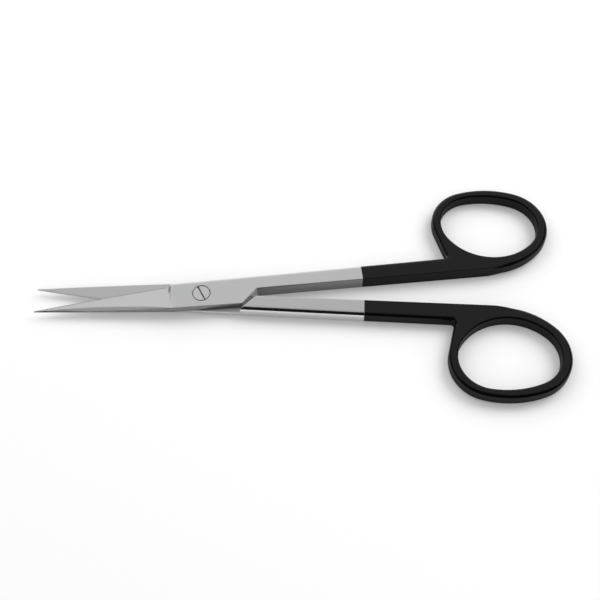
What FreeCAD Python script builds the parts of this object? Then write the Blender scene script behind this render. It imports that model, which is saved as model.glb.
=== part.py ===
import FreeCAD, Part
import math
import os
import Sketcher
from FreeCAD import Placement, Rotation, Vector

# Plastic surgery scissors, 12 cm, straight, sharp points
#
# Two equal forgings lie on each other in a half lap and turn on a slotted screw.
# Each half is drawn with the scissors closed: the pivot axis is Z, the rings are
# towards +X, the points towards -X and the half's own ring is on the +Y side.
# The upper half is then turned to its side by half the opening angle. The lower
# half is the same form turned over about X and swung the other way.

# Sizes in millimetres and degrees

SIZES = {
    # Stock and joint
    "thickness": 3.4,
    "lap_clearance": 0.04,
    "opening_angle": 8.6,
    "shank_gap": 0.12,
    "shoulder_clearance": 0.08,
    # Outer side of the half, from the heel of the blade to the ring
    "heel_reach": 7.6,
    "side_at_heel": 3.66,
    "side_at_ring": 4.32,
    "edge_rounding": 1.0,
    # Near side of the lap box and the slanted shoulder behind it
    "back_at_heel": 3.38,
    "box_reach": 9.15,
    "back_at_box": 3.7,
    "shoulder_reach": 12.8,
    # Finger ring, hole made of four arcs that run into each other
    "hole_left_x": 66.15,
    "hole_left_radius": 7.75,
    "hole_left_rise": 1.33,
    "hole_step": 7.31,
    "hole_right_radius": 7.89,
    "hole_shank_growth": 4.79,
    "hole_crown_radius": 21.1,
    "hole_rounding": 0.59,
    # Finger ring, outside, and the way the shank runs into it
    "nose_shift_x": 0.45,
    "nose_shift_y": 0.34,
    "nose_growth": 1.67,
    "end_growth": 2.44,
    "end_lift": 1.92,
    "crown_growth": 1.67,
    "bottom_offset": 2.54,
    "fade_length": 9.5,
    "web_offset": 8.1,
    "crotch_radius": 0.7,
    # Blade
    "blade_length": 38.35,
    "edge_at_heel": 3.35,
    "edge_at_tip": -0.15,
    "edge_bow": 0.13,
    "spine_at_tip": 0.33,
    "spine_bow": 0.08,
    "ridge_drop_heel": 0.08,
    "ridge_height_tip": 0.24,
    "ridge_height_bow": -0.13,
    "ridge_inset_heel": 0.18,
    "ridge_inset_tip": 0.12,
    "ridge_inset_bow": 0.87,
    "wall_drop_heel": 0.15,
    "wall_height_tip": 0.16,
    "wall_height_bow": -0.38,
    "land_heel": 0.42,
    "land_tip": 0.22,
    "heel_slope_run": 0.7,
    # Pivot screw
    "head_diameter": 4.0,
    "head_height": 0.65,
    "journal_diameter": 2.8,
    "thread_diameter": 2.4,
    "running_clearance": 0.04,
    "rim_chamfer": 0.12,
    "slot_width": 0.34,
    "slot_depth": 0.45,
    "slot_angle": -64.0,
    "tail_chamfer": 0.2,
}

LOFT_STATIONS = 5
SKETCH_MARGIN = 6.0
ANGLE_STEP = 1e-6
SAME_PLACE = 1e-4

# Shares of the thinnest ring wall that the outer rounding and the hole rounding may take
OUTER_SHARE = 0.61
HOLE_SHARE = 0.36

doc = FreeCAD.newDocument("scissors")
sheet = doc.addObject("Spreadsheet::Sheet", "sizes")
for row, (name, value) in enumerate(SIZES.items(), start=1):
    sheet.set(f"A{row}", name)
    sheet.set(f"B{row}", str(value))
    sheet.setAlias(f"B{row}", name)
doc.recompute()


# A size keeps its number, for placing a sketch, and its formula, which binds it


class Size:
    def __init__(self, value, formula):
        self.value = value
        self.formula = formula

    def __add__(self, other):
        return combine(self, other, "+", lambda a, b: a + b)

    def __sub__(self, other):
        return combine(self, other, "-", lambda a, b: a - b)

    def __mul__(self, other):
        return combine(self, other, "*", lambda a, b: a * b)

    def __truediv__(self, other):
        return combine(self, other, "/", lambda a, b: a / b)

    def __neg__(self):
        return Size(-self.value, f"-({self.formula})")


def combine(first, second, sign, work):
    if not isinstance(second, Size):
        second = Size(second, f"{second}")
    formula = f"({first.formula}) {sign} ({second.formula})"
    return Size(work(first.value, second.value), formula)


def size(name):
    return Size(float(SIZES[name]), f"sizes.{name}")


def root(square):
    return Size(math.sqrt(square.value), f"sqrt({square.formula})")


def smaller(first, second):
    return Size(min(first.value, second.value), f"min({first.formula}; {second.formula})")


ZERO = Size(0.0, "0")


# Sketch helpers


def plane(body, role):
    for feature in body.Origin.OriginFeatures:
        if feature.Role == role:
            return feature
    raise ValueError(role)


def new_sketch(body, name, role, offset=None):
    sketch = body.newObject("Sketcher::SketchObject", name)
    sketch.AttachmentSupport = [(plane(body, role), "")]
    sketch.MapMode = "FlatFace"
    if offset is not None:
        sketch.AttachmentOffset = Placement(Vector(0, 0, offset.value), Rotation())
        sketch.setExpression("AttachmentOffset.Base.z", offset.formula)
    return sketch


def bind(sketch, kind, where, amount):
    index = sketch.addConstraint(Sketcher.Constraint(kind, *where, amount.value))
    sketch.setExpression(f"Constraints[{index}]", amount.formula)


def pin(sketch, geometry, end, across, up):
    bind(sketch, "DistanceX", (-1, 1, geometry, end), across)
    bind(sketch, "DistanceY", (-1, 1, geometry, end), up)


def point(across, up):
    return Vector(across.value, up.value, 0)


def join(sketch, first, second, smooth=False):
    kind = "Tangent" if smooth else "Coincident"
    sketch.addConstraint(Sketcher.Constraint(kind, first, 2, second, 1))


def polygon(sketch, corners):
    count = len(corners)
    lines = []
    for index, (across, up) in enumerate(corners):
        following = corners[(index + 1) % count]
        lines.append(sketch.addGeometry(Part.LineSegment(point(across, up), point(*following))))
    for index, line in enumerate(lines):
        join(sketch, line, lines[(index + 1) % count])
    for line, (across, up) in zip(lines, corners):
        pin(sketch, line, 1, across, up)
    return lines


def arc_between(centre, radius, start, end, clockwise=False):
    first = math.atan2(start.y - centre.y, start.x - centre.x)
    last = math.atan2(end.y - centre.y, end.x - centre.x)
    if clockwise:
        first, last = last, first
    if last <= first + ANGLE_STEP:
        last += 2 * math.pi
    return Part.ArcOfCircle(Part.Circle(centre, Vector(0, 0, 1), radius), first, last)


def circle_crossing(centre_a, radius_a, centre_b, radius_b, side):
    # Point at the two given distances, to the left of the way from a to b for side 1
    way = centre_b - centre_a
    apart = way.Length
    along = (radius_a**2 - radius_b**2 + apart**2) / (2 * apart)
    across = math.sqrt(radius_a**2 - along**2)
    way.normalize()
    return centre_a + way * along + Vector(-way.y, way.x, 0) * (side * across)


def line_crossing(first, first_way, second, second_way):
    gap = second - first
    across = first_way.x * second_way.y - first_way.y * second_way.x
    along = (gap.x * second_way.y - gap.y * second_way.x) / across
    return first + first_way * along


def touch(centre, radius, other):
    # Point of the circle that lies away from another centre inside it
    way = centre - other
    way.normalize()
    return centre + way * radius


# Checks on the way


def check_volume(feature, before, grows):
    after = feature.Shape.Volume
    if (after > before) != grows:
        raise RuntimeError(f"{feature.Name} has no effect: {before} {after}")
    return after


# Forms of one half


half_lap = size("lap_clearance") / 2
lap_plane = size("thickness") / 2 + half_lap
lap_layer = size("thickness") / 2 - half_lap
outer_rounding = smaller(size("edge_rounding"), size("nose_growth") * OUTER_SHARE)
hole_rounding = smaller(size("hole_rounding"), size("nose_growth") * HOLE_SHARE)
inner_edge = size("shank_gap")
raised_edge = inner_edge + outer_rounding * 1.25
overlap_edge = raised_edge + outer_rounding * 0.2

# The round end of the ring hangs above the line of the inner edge
end_radius = size("hole_right_radius") + size("end_growth")
hole_left_x = size("hole_left_x")
hole_right_x = hole_left_x + size("hole_step")
hole_right_y = inner_edge + size("end_lift") + end_radius
hole_left_y = hole_right_y + size("hole_left_rise")
shank_radius = size("hole_left_radius") + size("hole_shank_growth")

nose_x = hole_left_x - size("nose_shift_x")
nose_y = hole_left_y + size("nose_shift_y")
nose_radius = size("hole_left_radius") + size("nose_growth")
crown_radius = size("hole_crown_radius") + size("crown_growth")
crotch_radius = size("crotch_radius")

# The outer side ends at a mark where the web rises to the ring
web_x = hole_left_x - size("web_offset")

# The bottom of the ring is an arc that leaves the inner edge of the shank smoothly
bottom_x = hole_left_x + size("bottom_offset")
bottom_drop = hole_right_y - inner_edge
bottom_shift = hole_right_x - bottom_x
bottom_square = bottom_shift * bottom_shift + bottom_drop * bottom_drop - end_radius * end_radius
bottom_radius = bottom_square / (size("end_lift") * 2)
break_x = bottom_x - outer_rounding * 2.5

# The sharp inner edge fades out on the flat top of the ring
fade_end = break_x + size("fade_length")
fade_past = fade_end - bottom_x
fade_radius = bottom_radius - outer_rounding * 1.1
fade_height = inner_edge + bottom_radius - root(fade_radius * fade_radius - fade_past * fade_past)


def draw_outer_form(body):
    """Outline whose outer edges get rounded: outer side of the half and ring."""
    sketch = new_sketch(body, f"{body.Name}_outer_outline", "XY_Plane")

    nose = point(nose_x, nose_y)
    end = point(hole_right_x, hole_right_y)
    crown = circle_crossing(
        nose,
        crown_radius.value - nose_radius.value,
        end,
        crown_radius.value - end_radius.value,
        -1,
    )
    side_start = point(-size("heel_reach"), size("side_at_heel"))
    mark = point(web_x, size("side_at_ring"))
    side_way = mark - side_start
    side_way.normalize()
    side_normal = Vector(-side_way.y, side_way.x, 0)
    to_nose = nose - mark
    slant = math.atan2(to_nose.y, to_nose.x) + math.asin(nose_radius.value / to_nose.Length)
    web_way = Vector(math.cos(slant), math.sin(slant), 0)
    web_normal = Vector(-web_way.y, web_way.x, 0)
    web_end = mark + web_way * math.sqrt(to_nose.Length**2 - nose_radius.value**2)
    lifted = side_start + side_normal * crotch_radius.value
    moved = mark + web_normal * crotch_radius.value
    crotch = line_crossing(lifted, side_way, moved, web_way)
    side_end = crotch - side_normal * crotch_radius.value
    web_start = crotch - web_normal * crotch_radius.value
    crown_start = touch(nose, nose_radius.value, crown)
    crown_end = touch(end, end_radius.value, crown)

    bottom = point(bottom_x, inner_edge + bottom_radius)
    bottom_start = touch(end, end_radius.value, bottom)
    bottom_run = bottom.x - break_x.value
    bottom_height = bottom.y - math.sqrt(bottom_radius.value**2 - bottom_run**2)
    bottom_end = Vector(break_x.value, bottom_height, 0)
    raised_end = Vector(break_x.value, raised_edge.value, 0)
    raised_start = Vector(side_start.x, raised_edge.value, 0)

    side = sketch.addGeometry(Part.LineSegment(side_start, side_end))
    crotch_arc = sketch.addGeometry(arc_between(crotch, crotch_radius.value, side_end, web_start))
    web = sketch.addGeometry(Part.LineSegment(web_start, web_end))
    nose_arc = sketch.addGeometry(arc_between(nose, nose_radius.value, web_end, crown_start, True))
    crown_arc = sketch.addGeometry(
        arc_between(crown, crown_radius.value, crown_start, crown_end, True)
    )
    end_arc = sketch.addGeometry(arc_between(end, end_radius.value, crown_end, bottom_start, True))
    bottom_arc = sketch.addGeometry(
        arc_between(bottom, bottom_radius.value, bottom_start, bottom_end, True)
    )
    break_line = sketch.addGeometry(Part.LineSegment(bottom_end, raised_end))
    raised = sketch.addGeometry(Part.LineSegment(raised_end, raised_start))
    heel = sketch.addGeometry(Part.LineSegment(raised_start, side_start))

    # The arcs run counterclockwise, so a clockwise one is left at its first end
    def tangent(first, first_end, second, second_end):
        sketch.addConstraint(
            Sketcher.Constraint("Tangent", first, first_end, second, second_end)
        )

    tangent(side, 2, crotch_arc, 1)
    tangent(crotch_arc, 2, web, 1)
    tangent(web, 2, nose_arc, 2)
    tangent(nose_arc, 1, crown_arc, 2)
    tangent(crown_arc, 1, end_arc, 2)
    tangent(end_arc, 1, bottom_arc, 2)
    sketch.addConstraint(Sketcher.Constraint("Coincident", bottom_arc, 1, break_line, 1))
    join(sketch, break_line, raised)
    join(sketch, raised, heel)
    join(sketch, heel, side)
    pin(sketch, side, 1, -size("heel_reach"), size("side_at_heel"))
    corner = sketch.addGeometry(Part.Point(mark), True)
    pin(sketch, corner, 1, web_x, size("side_at_ring"))
    sketch.addConstraint(Sketcher.Constraint("PointOnObject", corner, 1, side))
    sketch.addConstraint(Sketcher.Constraint("PointOnObject", corner, 1, web))
    bind(sketch, "Radius", (crotch_arc,), crotch_radius)
    pin(sketch, nose_arc, 3, nose_x, nose_y)
    bind(sketch, "Radius", (nose_arc,), nose_radius)
    bind(sketch, "Radius", (crown_arc,), crown_radius)
    pin(sketch, end_arc, 3, hole_right_x, hole_right_y)
    bind(sketch, "Radius", (end_arc,), end_radius)
    pin(sketch, bottom_arc, 3, bottom_x, inner_edge + bottom_radius)
    bind(sketch, "DistanceX", (-1, 1, bottom_arc, 1), break_x)
    sketch.addConstraint(Sketcher.Constraint("Vertical", break_line))
    sketch.addConstraint(Sketcher.Constraint("Horizontal", raised))
    bind(sketch, "DistanceY", (-1, 1, raised, 1), raised_edge)
    sketch.addConstraint(Sketcher.Constraint("Vertical", heel))
    return sketch


def draw_inner_form(body):
    """Lap box, its slanted shoulder and the sharp inner edge of the shank."""
    sketch = new_sketch(body, f"{body.Name}_inner_outline", "XY_Plane")
    corners = [
        (-size("heel_reach"), overlap_edge),
        (-size("heel_reach"), -size("back_at_heel")),
        (size("box_reach"), -size("back_at_box")),
        (size("shoulder_reach"), inner_edge),
        (break_x, inner_edge),
        (fade_end, fade_height),
        (break_x, overlap_edge),
    ]
    places = [point(*corner) for corner in corners]
    straight_end, fade_stop = places[4], places[5]
    length = fade_stop.x - straight_end.x
    height = fade_stop.y - straight_end.y
    radius = (length**2 + height**2) / (2 * height)
    centre = straight_end + Vector(0, radius, 0)
    edges = []
    for index, start in enumerate(places):
        stop = places[(index + 1) % len(places)]
        if index == 4:
            edges.append(sketch.addGeometry(arc_between(centre, radius, start, stop)))
        else:
            edges.append(sketch.addGeometry(Part.LineSegment(start, stop)))
    for index, edge in enumerate(edges):
        join(sketch, edge, edges[(index + 1) % len(edges)], smooth=(index == 3))
    for edge, corner in zip(edges, corners):
        pin(sketch, edge, 1, *corner)
    return sketch


def draw_ring_hole(body):
    sketch = new_sketch(body, f"{body.Name}_ring_hole", "XY_Plane")
    left = point(hole_left_x, hole_left_y)
    right = point(hole_right_x, hole_right_y)
    left_radius = size("hole_left_radius").value
    right_radius = size("hole_right_radius").value
    long = shank_radius.value
    flat = size("hole_crown_radius").value
    low = circle_crossing(left, long - left_radius, right, long - right_radius, 1)
    high = circle_crossing(left, flat - left_radius, right, flat - right_radius, -1)
    crown_left = touch(left, left_radius, high)
    crown_right = touch(right, right_radius, high)
    shank_left = touch(left, left_radius, low)
    shank_right = touch(right, right_radius, low)
    arcs = [
        sketch.addGeometry(arc_between(left, left_radius, crown_left, shank_left)),
        sketch.addGeometry(arc_between(low, long, shank_left, shank_right)),
        sketch.addGeometry(arc_between(right, right_radius, shank_right, crown_right)),
        sketch.addGeometry(arc_between(high, flat, crown_right, crown_left)),
    ]
    for index, arc in enumerate(arcs):
        join(sketch, arc, arcs[(index + 1) % len(arcs)], smooth=True)
    pin(sketch, arcs[0], 3, hole_left_x, hole_left_y)
    pin(sketch, arcs[2], 3, hole_right_x, hole_right_y)
    bind(sketch, "Radius", (arcs[0],), size("hole_left_radius"))
    bind(sketch, "Radius", (arcs[1],), shank_radius)
    bind(sketch, "Radius", (arcs[2],), size("hole_right_radius"))
    bind(sketch, "Radius", (arcs[3],), size("hole_crown_radius"))
    return sketch


def pad(body, name, sketch, length):
    feature = body.newObject("PartDesign::Pad", name)
    feature.Profile = sketch
    feature.setExpression("Length", length.formula)
    doc.recompute()
    return feature


def pocket(body, name, sketch, depth=None, reverse=False, symmetric=False):
    before = body.Shape.Volume
    feature = body.newObject("PartDesign::Pocket", name)
    feature.Profile = sketch
    if depth is None:
        feature.Type = "ThroughAll"
    else:
        feature.Type = "Length"
        feature.setExpression("Length", depth.formula)
    feature.Reversed = reverse
    feature.Midplane = symmetric
    doc.recompute()
    check_volume(feature, before, False)
    return feature


def rim_edges(shape, wanted):
    """Names of the edges in the top and bottom faces whose middle is wanted."""
    top = SIZES["thickness"]
    names = []
    for index, edge in enumerate(shape.Edges, start=1):
        middle = edge.valueAt((edge.FirstParameter + edge.LastParameter) / 2)
        box = edge.BoundBox
        level = min(abs(middle.z), abs(middle.z - top)) < SAME_PLACE
        if level and box.ZLength < SAME_PLACE and wanted(middle, edge):
            names.append(f"Edge{index}")
    return names


def round_edges(body, name, base, names, radius):
    if not names:
        raise RuntimeError(f"{name} found no edge")
    feature = body.newObject("PartDesign::Fillet", name)
    feature.Base = (base, names)
    feature.setExpression("Radius", radius.formula)
    doc.recompute()
    return feature


def on_outer_side(middle, edge):
    heel = -SIZES["heel_reach"]
    at_heel = abs(middle.x - heel) < SAME_PLACE
    at_break = edge.BoundBox.XLength < SAME_PLACE
    raised = abs(middle.y - raised_edge.value) < SAME_PLACE
    at_raised = raised and edge.BoundBox.YLength < SAME_PLACE
    return not (at_heel or at_break or at_raised)


def is_arc(edge, centre, radius):
    if edge.Curve.TypeId != "Part::GeomCircle":
        return False
    gap = edge.Curve.Center - centre
    aside = math.hypot(gap.x, gap.y)
    return aside < SAME_PLACE and abs(edge.Curve.Radius - radius) < SAME_PLACE


def on_outline(sketch):
    """Test for the edges that follow an arc of the sketch."""
    return lambda middle, edge: any(
        is_arc(edge, arc.Center, arc.Radius) for arc in sketch.Geometry
    )


def blend(at_heel, at_tip, bow, share):
    """Value between heel and tip with a bow in the middle."""
    return at_heel * (1 - share) + at_tip * share + bow * (4 * share * (1 - share))


def draw_blade_section(body, number, share):
    """Section across the blade: flat inside, spine wall, ridge, ground face, edge."""
    start = size("heel_reach") - size("heel_slope_run") * 1.5
    reach = start * (1 - share) + size("blade_length") * share
    sketch = new_sketch(body, f"{body.Name}_section_{number}", "YZ_Plane", -reach)
    spine = -blend(size("back_at_heel"), size("spine_at_tip"), size("spine_bow"), share)
    edge = blend(size("edge_at_heel"), size("edge_at_tip"), size("edge_bow"), share)
    inset = blend(size("ridge_inset_heel"), size("ridge_inset_tip"), size("ridge_inset_bow"), share)
    ridge_heel = lap_layer - size("ridge_drop_heel")
    ridge = blend(ridge_heel, size("ridge_height_tip"), size("ridge_height_bow"), share)
    wall_heel = lap_layer - size("wall_drop_heel")
    wall = blend(wall_heel, size("wall_height_tip"), size("wall_height_bow"), share)
    land = blend(size("land_heel"), size("land_tip"), ZERO, share)
    foot = size("thickness") * 0.4
    polygon(
        sketch,
        [
            (spine, foot),
            (edge, foot),
            (edge, lap_plane + land),
            (spine + inset, lap_plane + ridge),
            (spine, lap_plane + wall),
        ],
    )
    return sketch


def make_half(label, is_upper):
    body = doc.addObject("PartDesign::Body", label)
    body.Label = label

    outer = pad(body, f"{label}_outer", draw_outer_form(body), size("thickness"))
    names = rim_edges(outer.Shape, on_outer_side)
    round_edges(body, f"{label}_outer_rounding", outer, names, outer_rounding)
    pad(body, f"{label}_inner", draw_inner_form(body), size("thickness"))
    hole_outline = draw_ring_hole(body)
    hole = pocket(body, f"{label}_hole", hole_outline, reverse=True)
    names = rim_edges(hole.Shape, on_outline(hole_outline))
    round_edges(body, f"{label}_hole_rounding", hole, names, hole_rounding)

    # Slope at the heel, from the ground face of the blade up to the box
    slope = new_sketch(body, f"{label}_heel_outline", "XZ_Plane")
    heel = -size("heel_reach")
    slope_top = size("thickness") + SKETCH_MARGIN
    foot = lap_plane + size("land_heel")
    polygon(
        slope,
        [
            (heel - SKETCH_MARGIN, foot),
            (heel, foot),
            (heel + size("heel_slope_run"), size("thickness")),
            (heel + size("heel_slope_run"), slope_top),
            (heel - SKETCH_MARGIN, slope_top),
        ],
    )
    pocket(body, f"{label}_heel", slope, symmetric=True)

    # Blade
    sections = []
    for number in range(LOFT_STATIONS + 1):
        sections.append(draw_blade_section(body, number, number / LOFT_STATIONS))
    before = body.Shape.Volume
    blade = body.newObject("PartDesign::AdditiveLoft", f"{label}_blade")
    blade.Profile = sections[0]
    blade.Sections = sections[1:]
    blade.Ruled = False
    doc.recompute()
    check_volume(blade, before, True)

    # Half lap: the layer under the blade and the box is cut away up to the shoulder
    lap = new_sketch(body, f"{label}_lap_outline", "XY_Plane")
    lean = (size("shoulder_reach") - size("box_reach")) / (size("back_at_box") + inner_edge)
    high = size("back_at_box") + SKETCH_MARGIN
    wall_high = size("box_reach") + size("shoulder_clearance") - lean * SKETCH_MARGIN
    wall_low = wall_high + lean * high * 2
    polygon(
        lap,
        [
            (-size("blade_length") - SKETCH_MARGIN, -high),
            (wall_low, -high),
            (wall_high, high),
            (-size("blade_length") - SKETCH_MARGIN, high),
        ],
    )
    pocket(body, f"{label}_lap", lap, depth=lap_plane, reverse=True)

    if is_upper:
        bore(body, f"{label}_bore", size("journal_diameter") + size("running_clearance") * 2)
        seat = new_sketch(body, f"{label}_seat_outline", "XY_Plane", size("thickness"))
        seat_circle = seat.addGeometry(Part.Circle(Vector(0, 0, 0), Vector(0, 0, 1), 1))
        pin(seat, seat_circle, 3, ZERO, ZERO)
        seat_diameter = size("head_diameter") + size("running_clearance") * 2
        bind(seat, "Diameter", (seat_circle,), seat_diameter)
        seat_depth = size("head_height") + size("running_clearance")
        cut = pocket(body, f"{label}_seat", seat, depth=seat_depth)
        rim = rim_edges(cut.Shape, on_outline(seat))
        chamfer(body, f"{label}_seat_rim", cut, rim, size("rim_chamfer"))
    else:
        bore(body, f"{label}_bore", size("thread_diameter"))

    swing = opening_half()
    if is_upper:
        body.Placement = Placement(Vector(0, 0, 0), Rotation(Vector(0, 0, 1), swing))
    else:
        flip = Placement(Vector(0, 0, SIZES["thickness"]), Rotation(Vector(1, 0, 0), 180))
        body.Placement = Placement(Vector(0, 0, 0), Rotation(Vector(0, 0, 1), -swing)) * flip
    doc.recompute()
    return body


def opening_half():
    return SIZES["opening_angle"] / 2


def bore(body, name, diameter):
    sketch = new_sketch(body, f"{name}_outline", "XY_Plane")
    circle = sketch.addGeometry(Part.Circle(Vector(0, 0, 0), Vector(0, 0, 1), 1))
    pin(sketch, circle, 3, ZERO, ZERO)
    bind(sketch, "Diameter", (circle,), diameter)
    return pocket(body, name, sketch, reverse=True)


def chamfer(body, name, base, names, amount):
    if not names:
        raise RuntimeError(f"{name} found no edge")
    feature = body.newObject("PartDesign::Chamfer", name)
    feature.Base = (base, names)
    feature.setExpression("Size", amount.formula)
    doc.recompute()
    return feature


def make_screw():
    """Slotted screw: tail in the lower half, journal and flush head in the upper half."""
    body = doc.addObject("PartDesign::Body", "pivot_screw")
    body.Label = "pivot_screw"
    sketch = new_sketch(body, "screw_profile", "XZ_Plane")
    top = size("thickness")
    head_radius = size("head_diameter") / 2
    journal_radius = size("journal_diameter") / 2
    thread_radius = size("thread_diameter") / 2
    under_head = top - size("head_height")
    tail = size("tail_chamfer")
    rim = size("rim_chamfer")
    polygon(
        sketch,
        [
            (ZERO, ZERO),
            (thread_radius - tail, ZERO),
            (thread_radius, tail),
            (thread_radius, lap_layer),
            (journal_radius, lap_layer),
            (journal_radius, under_head),
            (head_radius, under_head),
            (head_radius, top - rim),
            (head_radius - rim, top),
            (ZERO, top),
        ],
    )
    turned = body.newObject("PartDesign::Revolution", "screw_turned")
    turned.Profile = sketch
    turned.ReferenceAxis = (sketch, ["V_Axis"])
    turned.Angle = 360
    doc.recompute()

    slot = new_sketch(body, "slot_outline", "XY_Plane", top)
    slot.AttachmentOffset = Placement(
        Vector(0, 0, top.value), Rotation(Vector(0, 0, 1), SIZES["slot_angle"])
    )
    slot.setExpression("AttachmentOffset.Rotation.Angle", "sizes.slot_angle * 1 deg")
    half_width = size("slot_width") / 2
    reach = head_radius + SKETCH_MARGIN
    polygon(
        slot,
        [
            (-reach, -half_width),
            (reach, -half_width),
            (reach, half_width),
            (-reach, half_width),
        ],
    )
    pocket(body, "screw_slot", slot, depth=size("slot_depth"))
    return body


pieces = [make_half("upper_half", True), make_half("lower_half", False), make_screw()]
doc.recompute()

for item in doc.Objects:
    if "Invalid" in item.State or "Error" in item.State:
        raise RuntimeError(f"{item.Name}: {item.State}")

os.makedirs("parts", exist_ok=True)
for piece in pieces:
    shape = piece.Shape
    if shape.isNull() or not shape.isValid() or len(shape.Solids) != 1:
        raise RuntimeError(f"{piece.Label}: null={shape.isNull()} solids={len(shape.Solids)}")
    print(piece.Label, "volume", round(shape.Volume, 2), "faces", len(shape.Faces))

for piece in pieces:
    piece.Shape.exportStep(f"parts/{piece.Label}.step")
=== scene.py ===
import math

import bpy
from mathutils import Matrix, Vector

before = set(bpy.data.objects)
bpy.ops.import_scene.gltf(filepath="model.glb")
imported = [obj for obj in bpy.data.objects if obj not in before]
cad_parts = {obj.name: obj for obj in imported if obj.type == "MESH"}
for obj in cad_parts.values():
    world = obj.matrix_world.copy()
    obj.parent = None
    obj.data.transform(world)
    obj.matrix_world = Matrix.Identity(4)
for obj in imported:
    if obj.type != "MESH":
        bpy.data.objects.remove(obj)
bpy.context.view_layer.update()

MM = 0.001

# Camera, from a fit to the outline of both halves in the photograph
CAMERA_PLACE = Vector((19.23, -127.68, 196.20)) * MM
CAMERA_AIM = Vector((22.664, -0.308, 0.0)) * MM
CAMERA_LENS = 60.32
CAMERA_SENSOR = 36.0

# Area lights: name, place in metres, width in metres, power in watts
LIGHTS = (
    ("key", (0.54, 0.38, 0.61), 0.65, 4.4),
    ("fill", (-0.42, 0.48, 0.64), 0.8, 2.1),
)
EVEN_LIGHT = 0.7
DARK_FRONT = 0.006
DARK_SIDES = 0.03
LOW_GLOW = 1.26

FLOOR_REACH = 3.0
FLOOR_DROP = 0.02 * MM
FLOOR_TONE = (0.8, 0.8, 0.8)
FLOOR_LIFT = 0.18
FLOOR_SHADOW = 0.8

# Each half is turned from X by this angle, one to either side
HALF_OPENING = math.radians(4.3)

# Along a half, from the pivot towards the ring
COAT_START = 37.45 * MM
HEEL_STEP = -7.3 * MM
GROUND_END = -7.6 * MM
BLADE_TIP = -38.35 * MM

# The height at which the halves meet, and the height of the flat beside the cutting edge
LAP_HEIGHT = 1.7 * MM
LAND_AT_TIP = 0.22 * MM
LAND_AT_HEEL = 0.42 * MM

# Two tones of each surface, mixed in soft clouds
UPPER_STEEL = ((0.705, 0.709, 0.715, 1.0), (0.74, 0.74, 0.743, 1.0))
# The lower half's steel is darker than the upper's: painted shade on the same steel
LOWER_STEEL_SHADED = ((0.64, 0.644, 0.65, 1.0), (0.67, 0.67, 0.673, 1.0))
SCREW_STEEL = ((0.7, 0.703, 0.708, 1.0), (0.74, 0.74, 0.743, 1.0))
COAT = ((0.0028, 0.0028, 0.003, 1.0), (0.005, 0.005, 0.0053, 1.0))

# Factors on the tone of the steel; all but the heel step are painted shade or a painted
# highlight
CORNER_SHADE_TONE = 0.5
INNER_SIDE_SHADE_TONE = 0.345
EDGE_HIGHLIGHT_TONE = 1.22
HOLLOW_SHADE_TONE = 0.45
HEEL_STEP_TONE = 0.85
EDGE_GAP_SHADE_TONE = 0.55
SCREW_HOLLOW_SHADE_TONE = 0.05

# Factors on how metallic the steel is
LAP_METAL = 0.65
HEEL_STEP_METAL = 0.1

# Added to the roughness
HAIR_ROUGH = 0.012
LAP_ROUGH = 0.25
FLAT_ROUGH = 0.33
ROUNDED_ROUGH = -0.14
UPRIGHT_COAT_ROUGH = 0.5

GRAIN_DEPTH = 0.0012 * MM

scene = bpy.context.scene
scene.view_settings.view_transform = "Standard"


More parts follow.
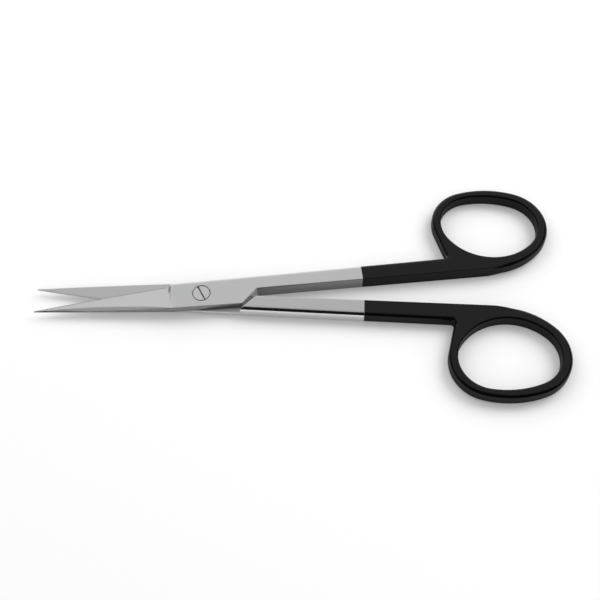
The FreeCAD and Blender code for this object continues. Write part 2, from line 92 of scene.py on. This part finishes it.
class Nodes:
    """Builds one node tree with short calls."""

    def __init__(self, tree):
        self.tree = tree
        tree.nodes.clear()

    def new(self, kind, inputs=None, **settings):
        node = self.tree.nodes.new(kind)
        for name, value in settings.items():
            setattr(node, name, value)
        for key, value in (inputs or {}).items():
            self.feed(node.inputs[key], value)
        return node

    def feed(self, socket, value):
        if isinstance(value, bpy.types.NodeSocket):
            self.tree.links.new(value, socket)
        else:
            socket.default_value = value

    def math(self, operation, *values):
        node = self.new("ShaderNodeMath", operation=operation)
        for socket, value in zip(node.inputs, values):
            self.feed(socket, value)
        return node.outputs[0]

    def product(self, first, *others):
        for other in others:
            first = self.math("MULTIPLY", first, other)
        return first

    def add(self, base, mask, amount):
        """The base plus the mask times the amount."""
        return self.math("MULTIPLY_ADD", mask, amount, base)

    def ramp(self, value, low, high, start=0.0, end=1.0, smooth=True):
        kind = "SMOOTHSTEP" if smooth else "LINEAR"
        node = self.new("ShaderNodeMapRange", interpolation_type=kind)
        for socket, entry in zip(node.inputs, (value, low, high, start, end)):
            self.feed(socket, entry)
        return node.outputs[0]

    def fade(self, mask, factor):
        """1 where the mask is 0, and the factor where it is 1."""
        return self.ramp(mask, 0.0, 1.0, 1.0, factor, smooth=False)

    def mix(self, share, first, second):
        node = self.new("ShaderNodeMix", data_type="RGBA")
        self.feed(node.inputs[0], share)
        self.feed(node.inputs[6], first)
        self.feed(node.inputs[7], second)
        return node.outputs[2]

    def scaled(self, vector, factor):
        settings = {0: vector, "Scale": factor}
        return self.new("ShaderNodeVectorMath", settings, operation="SCALE").outputs[0]

    def spread(self, vector):
        return self.new("ShaderNodeSeparateXYZ", {0: vector}).outputs

    def turned(self, vector, angle):
        settings = {"Vector": vector, "Angle": angle}
        return self.new("ShaderNodeVectorRotate", settings, rotation_type="Z_AXIS").outputs[0]

    def stretch(self, place, scale, turn=0.0):
        settings = {"Vector": place, "Scale": scale, "Rotation": (0.0, 0.0, turn)}
        return self.new("ShaderNodeMapping", settings, vector_type="TEXTURE").outputs[0]

    def noise(self, place, scale, detail=2.0, roughness=0.5):
        settings = {"Vector": place, "Scale": scale, "Detail": detail, "Roughness": roughness}
        return self.new("ShaderNodeTexNoise", settings).outputs["Fac"]

    def object_place(self):
        return self.new("ShaderNodeTexCoord").outputs["Object"]

    def own_space(self, normal, turn):
        """Turns a normal from the world to the part's own space, with X along the half."""
        own = self.new(
            "ShaderNodeVectorTransform",
            {"Vector": normal},
            vector_type="NORMAL",
            convert_from="WORLD",
            convert_to="OBJECT",
        ).outputs[0]
        return self.spread(self.turned(own, -turn))

    def openness(self, distance, samples):
        settings = {"Distance": distance}
        return self.new("ShaderNodeAmbientOcclusion", settings, samples=samples).outputs["AO"]

    def soft_normal(self, radius, samples):
        return self.new("ShaderNodeBevel", {"Radius": radius}, samples=samples).outputs[0]

    def bump(self, height, normal, strength):
        settings = {
            "Height": height,
            "Normal": normal,
            "Strength": strength,
            "Distance": GRAIN_DEPTH,
        }
        return self.new("ShaderNodeBump", settings).outputs[0]

    def show(self, shader, kind="ShaderNodeOutputMaterial"):
        self.new(kind, {"Surface": shader.outputs[0]})


def new_material(name):
    material = bpy.data.materials.new(name)
    material.use_nodes = True
    return material, Nodes(material.node_tree)


# Stage: camera, a plain pale floor and soft studio light


def make_camera():
    data = bpy.data.cameras.new("camera")
    data.lens = CAMERA_LENS
    data.sensor_width = CAMERA_SENSOR
    data.clip_start = 0.005
    data.clip_end = 20.0
    camera = bpy.data.objects.new("camera", data)
    scene.collection.objects.link(camera)
    camera.location = CAMERA_PLACE
    camera.rotation_euler = (CAMERA_AIM - CAMERA_PLACE).to_track_quat("-Z", "Y").to_euler()
    scene.camera = camera


def floor_material():
    """Pale paper with painted shade close to the part, lifted to white where it is seen."""
    material, nodes = new_material("floor")
    path = nodes.new("ShaderNodeLightPath").outputs
    seen = nodes.math("MAXIMUM", path["Is Camera Ray"], path["Is Glossy Ray"])
    seen = nodes.math("MAXIMUM", seen, path["Is Transmission Ray"])
    lift = nodes.new("ShaderNodeEmission", {"Strength": nodes.product(seen, FLOOR_LIFT)})
    # painted shade on the floor close to the part
    open_sky = nodes.openness(9.0 * MM, 16)
    shade = nodes.ramp(open_sky, 0.45, 1.0, FLOOR_SHADOW, 1.0, smooth=False)
    paper = nodes.new("ShaderNodeBsdfDiffuse", {"Color": nodes.scaled(FLOOR_TONE, shade)})
    nodes.show(nodes.new("ShaderNodeAddShader", {0: paper.outputs[0], 1: lift.outputs[0]}))
    material.cycles.emission_sampling = "NONE"
    return material


def make_floor():
    mesh = bpy.data.meshes.new("floor")
    reach = FLOOR_REACH
    corners = [(-reach, -reach, 0), (reach, -reach, 0), (reach, reach, 0), (-reach, reach, 0)]
    mesh.from_pydata(corners, [], [(0, 1, 2, 3)])
    mesh.materials.append(floor_material())
    floor = bpy.data.objects.new("floor", mesh)
    scene.collection.objects.link(floor)
    floor.location.z = -FLOOR_DROP


def make_world():
    """Even soft light. What mirrors sees a studio that is dark at the front and low sides."""
    world = bpy.data.worlds.new("studio")
    world.use_nodes = True
    scene.world = world
    nodes = Nodes(world.node_tree)
    way = nodes.spread(nodes.new("ShaderNodeTexCoord").outputs["Generated"])
    front = nodes.ramp(nodes.product(way["Y"], -1.0), 0.0, 0.2, 1.0, DARK_FRONT)
    far_side = nodes.ramp(nodes.math("ABSOLUTE", way["X"]), 0.5, 0.72)
    low_side = nodes.product(far_side, nodes.ramp(way["Z"], 0.7, 0.5))
    low = nodes.ramp(way["Z"], 0.3, 0.85, LOW_GLOW, 1.0)
    level = nodes.product(front, nodes.fade(low_side, DARK_SIDES), low)
    studio = nodes.new("ShaderNodeBackground", {"Strength": level}).outputs[0]
    even = nodes.new("ShaderNodeBackground", {"Strength": EVEN_LIGHT}).outputs[0]
    mirrored = nodes.new("ShaderNodeLightPath").outputs["Is Glossy Ray"]
    chosen = nodes.new("ShaderNodeMixShader", {0: mirrored, 1: even, 2: studio})
    nodes.show(chosen, "ShaderNodeOutputWorld")


def make_light(name, place, width, power):
    data = bpy.data.lights.new(name, "AREA")
    data.shape = "DISK"
    data.size = width
    data.energy = power
    light = bpy.data.objects.new(name, data)
    scene.collection.objects.link(light)
    light.location = place
    light.rotation_euler = (-Vector(place)).to_track_quat("-Z", "Y").to_euler()
    light.visible_glossy = False


# Materials


class Half:
    """Where a shading point lies on one half, and where it faces, measured along that half."""

    def __init__(self, nodes, turn):
        outer_side = math.copysign(1.0, turn)
        place = nodes.object_place()
        self.along = nodes.turned(place, -turn)
        spread = nodes.spread(self.along)
        self.reach = spread["X"]
        self.outward = nodes.product(spread["Y"], outer_side)
        height = nodes.spread(place)["Z"]
        self.off_lap = nodes.math("ABSOLUTE", nodes.math("SUBTRACT", height, LAP_HEIGHT))
        self.off_step = nodes.math("ABSOLUTE", nodes.math("SUBTRACT", self.reach, HEEL_STEP))

        self.normal = nodes.new("ShaderNodeNewGeometry").outputs["Normal"]
        self.soft_normal = nodes.soft_normal(0.3 * MM, 10)
        facing = nodes.own_space(self.normal, turn)
        self.inward = nodes.product(facing["Y"], -outer_side)
        self.flatness = nodes.math("ABSOLUTE", facing["Z"])
        lengthwise = nodes.own_space(self.soft_normal, turn)["X"]
        self.endwise = nodes.math("ABSOLUTE", lengthwise)


def lap_face(nodes, half):
    """The face of the box that the other half rubs dull."""
    return nodes.product(
        nodes.math("LESS_THAN", half.off_lap, 0.05 * MM),
        nodes.ramp(half.reach, -8.0 * MM, -7.0 * MM),
    )


def heel_hollow_shade(nodes, half):
    """Painted shade of the hollow that the grinding wheel leaves where the ground face ends at
    the box.
    """
    return nodes.product(
        nodes.ramp(half.off_step, 0.15 * MM, 0.5 * MM, 1.0, 0.0),
        nodes.ramp(half.outward, 1.0 * MM, 2.0 * MM),
        nodes.ramp(half.outward, 3.2 * MM, 2.6 * MM),
        nodes.math("GREATER_THAN", half.off_lap, 0.3 * MM),
    )


def heel_step(nodes, half):
    """The small matt step between the ground face and the box."""
    return nodes.product(
        nodes.ramp(half.endwise, 0.12, 0.3),
        nodes.ramp(half.off_step, 0.95 * MM, 0.75 * MM),
    )


def edge_gap_shade(nodes, half):
    """Painted shade: the fine dark line of the gap between the blades, on the ground face
    above the flat beside the cutting edge.
    """
    land = nodes.ramp(
        half.reach, BLADE_TIP, GROUND_END, LAND_AT_TIP, LAND_AT_HEEL, smooth=False
    )
    rise = nodes.math("SUBTRACT", half.off_lap, land)
    return nodes.product(
        nodes.ramp(rise, -0.05 * MM, -0.03 * MM),
        nodes.ramp(rise, 0.07 * MM, 0.04 * MM),
        nodes.ramp(half.reach, -7.9 * MM, -8.1 * MM),
    )


def steel_shade(nodes, half, step):
    """Painted shade in corners, on the inner sides, in the heel hollow and along the cutting
    edge, a painted highlight on the edges, and the heel step.
    """
    along_edge = nodes.new(
        "ShaderNodeVectorMath", {0: half.soft_normal, 1: half.normal}, operation="DOT_PRODUCT"
    ).outputs["Value"]
    return nodes.product(
        # painted shade in corners and creases, darker where little sky is open
        nodes.ramp(nodes.openness(0.6 * MM, 8), 0.1, 0.85, CORNER_SHADE_TONE, 1.0, smooth=False),
        # painted shade on the inner sides, where they mirror the shaded floor between the
        # halves
        nodes.ramp(half.inward, 0.6, 0.9, 1.0, INNER_SIDE_SHADE_TONE),
        # painted highlight along the edges
        nodes.ramp(along_edge, 0.999, 0.95, 1.0, EDGE_HIGHLIGHT_TONE),
        # painted shade of the heel hollow
        nodes.fade(heel_hollow_shade(nodes, half), HOLLOW_SHADE_TONE),
        nodes.fade(step, HEEL_STEP_TONE),
        # painted shade of the gap between the blades
        nodes.fade(edge_gap_shade(nodes, half), EDGE_GAP_SHADE_TONE),
    )


def steel_roughness(nodes, half, lines, lap):
    """Fine lines and hair scratches. Flat faces are ground dull, rounded edges polished."""
    hairs = nodes.noise(nodes.stretch(half.along, (60.0, 1.0, 60.0), 0.5), 5000.0, 1.0)
    flat = nodes.ramp(half.flatness, 0.925, 0.945)
    rounded = nodes.math("SUBTRACT", nodes.ramp(half.flatness, 0.25, 0.4), flat)
    rough = nodes.ramp(lines, 0.3, 0.7, 0.22, 0.28, smooth=False)
    rough = nodes.add(rough, nodes.ramp(hairs, 0.71, 0.76), HAIR_ROUGH)
    rough = nodes.add(rough, lap, LAP_ROUGH)
    rough = nodes.add(rough, flat, FLAT_ROUGH)
    return nodes.add(rough, rounded, ROUNDED_ROUGH)


def coat_surface(nodes, half):
    """Tone and roughness of a hard lacquer with rubbed spots, duller on upright sides."""
    rub = nodes.ramp(nodes.noise(half.along, 2600.0, 4.0, 0.65), 0.6, 0.78)
    rough = nodes.ramp(rub, 0.0, 1.0, 0.13, 0.2, smooth=False)
    upright = nodes.ramp(half.flatness, 0.5, 0.1)
    return nodes.mix(rub, *COAT), nodes.add(rough, upright, UPRIGHT_COAT_ROUGH)


def half_material(name, turn, tones):
    """Satin steel that runs under a glossy black coat from COAT_START to the ring."""
    material, nodes = new_material(name)
    half = Half(nodes, turn)
    lap = lap_face(nodes, half)
    step = heel_step(nodes, half)

    border = nodes.add(half.reach, nodes.noise(half.along, 900.0), 0.16 * MM)
    coat = nodes.ramp(border, COAT_START + 0.04 * MM, COAT_START + 0.12 * MM)
    bare = nodes.math("SUBTRACT", 1.0, coat)

    lines = nodes.noise(nodes.stretch(half.along, (30.0, 1.0, 1.0)), 9000.0, 3.0, 0.6)
    clouds = nodes.noise(half.along, 160.0, 3.0)
    steel_tone = nodes.scaled(nodes.mix(clouds, *tones), steel_shade(nodes, half, step))
    steel_rough = steel_roughness(nodes, half, lines, lap)
    coat_tone, coat_rough = coat_surface(nodes, half)
    metal = nodes.product(
        bare, nodes.fade(lap, LAP_METAL), nodes.fade(step, HEEL_STEP_METAL)
    )

    # The grinding lines, a faint swell of the coat and the coat's own thickness
    relief = nodes.add(nodes.product(lines, bare), nodes.noise(half.along, 420.0, 2.0), 2.0)
    relief = nodes.add(relief, coat, 8.0)
    rough = nodes.new("ShaderNodeMix", {0: coat, 2: steel_rough, 3: coat_rough}).outputs[0]
    settings = {
        "Base Color": nodes.mix(coat, steel_tone, coat_tone),
        "Metallic": metal,
        "Roughness": rough,
        "Specular IOR Level": 0.22,
        "Normal": nodes.bump(relief, half.soft_normal, 0.15),
    }
    nodes.show(nodes.new("ShaderNodeBsdfPrincipled", settings))
    return material


def screw_material():
    """Steel turned on a lathe: fine rings round the axis, and painted shade in the slot and
    other hollows.
    """
    material, nodes = new_material("screw_steel")
    place = nodes.object_place()
    parts = nodes.spread(place)
    level = nodes.new("ShaderNodeCombineXYZ", {0: parts["X"], 1: parts["Y"]}).outputs[0]
    radius = nodes.new("ShaderNodeVectorMath", {0: level}, operation="LENGTH").outputs["Value"]
    round_axis = nodes.new("ShaderNodeCombineXYZ", {0: radius, 2: parts["Z"]}).outputs[0]
    rings = nodes.noise(round_axis, 14000.0, 2.0)
    clouds = nodes.noise(place, 900.0, 3.0)
    # painted shade in the slot and other hollows
    open_sky = nodes.openness(0.5 * MM, 8)
    shade = nodes.ramp(open_sky, 0.1, 0.85, SCREW_HOLLOW_SHADE_TONE, 1.0, smooth=False)
    settings = {
        "Base Color": nodes.scaled(nodes.mix(clouds, *SCREW_STEEL), shade),
        "Metallic": 1.0,
        "Roughness": nodes.ramp(rings, 0.3, 0.7, 0.48, 0.6, smooth=False),
        "Normal": nodes.bump(rings, nodes.soft_normal(0.06 * MM, 6), 0.3),
    }
    nodes.show(nodes.new("ShaderNodeBsdfPrincipled", settings))
    return material


def dress(node, material):
    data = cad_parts[node].data
    data.materials.clear()
    data.materials.append(material)


make_camera()
make_floor()
make_world()
for light in LIGHTS:
    make_light(*light)
dress("upper_half", half_material("upper_steel", HALF_OPENING, UPPER_STEEL))
dress("lower_half", half_material("lower_steel", -HALF_OPENING, LOWER_STEEL_SHADED))
dress("pivot_screw", screw_material())
